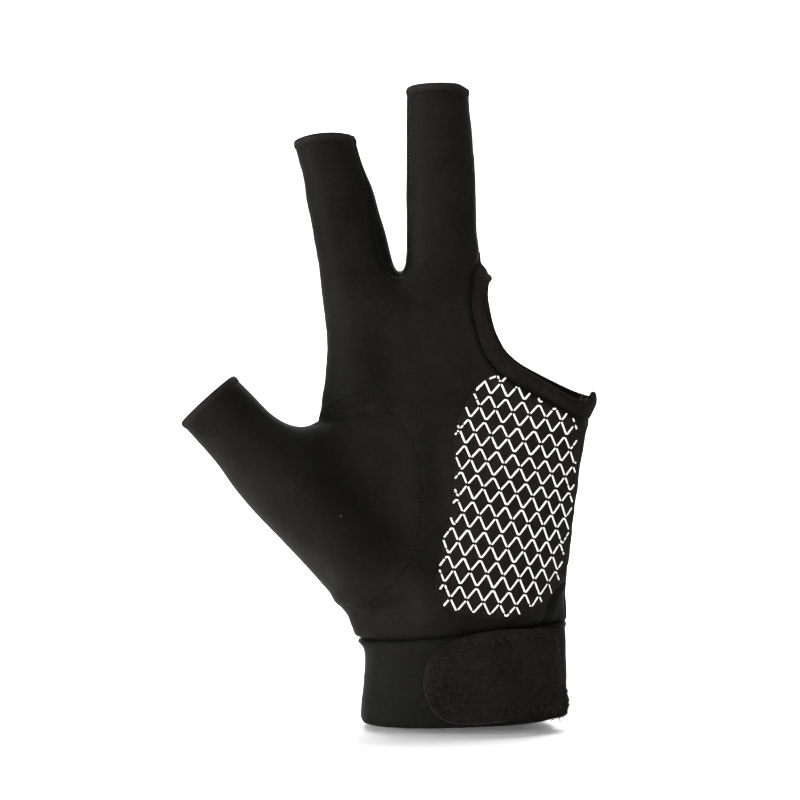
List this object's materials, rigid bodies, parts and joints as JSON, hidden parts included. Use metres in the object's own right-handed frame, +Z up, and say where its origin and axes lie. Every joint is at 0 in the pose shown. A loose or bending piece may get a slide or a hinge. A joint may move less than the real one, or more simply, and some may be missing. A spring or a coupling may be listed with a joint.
{
  "type": "billiard glove",
  "caption": "Left-hand cue glove with thumb, index and middle stalls, open tips, a bound opening for the other fingers, a grip patch and a wrist tab.",
  "frame": {"origin": "middle of the wrist opening", "axes": "+Z up along the fingers, the palm faces -Y, the thumb points to -X"},
  "size_m": [0.1161, 0.0397, 0.1766],
  "materials": {
    "knit": "satin stretch knit, black",
    "hem": "turned hem with overlock stitches, black",
    "binding": "matte elastic binding, black",
    "cuff": "stretch knit cuff, black",
    "tab": "brushed loop fabric, brownish black",
    "patch": "matte suede-like reinforcement, black",
    "print": "white rubber print, satin"
  },
  "bodies": {
    "root": {"palm_panel": "knit", "back_panel": "knit", "thumb_panel": "knit", "finger_gusset": "knit", "index_hem": "hem", "middle_hem": "hem", "thumb_hem": "hem", "opening_binding": "binding", "wrist_band": "cuff", "closure_tab": "tab", "grip_patch": "patch", "grip_lattice": "print"}
  },
  "joints": []
}
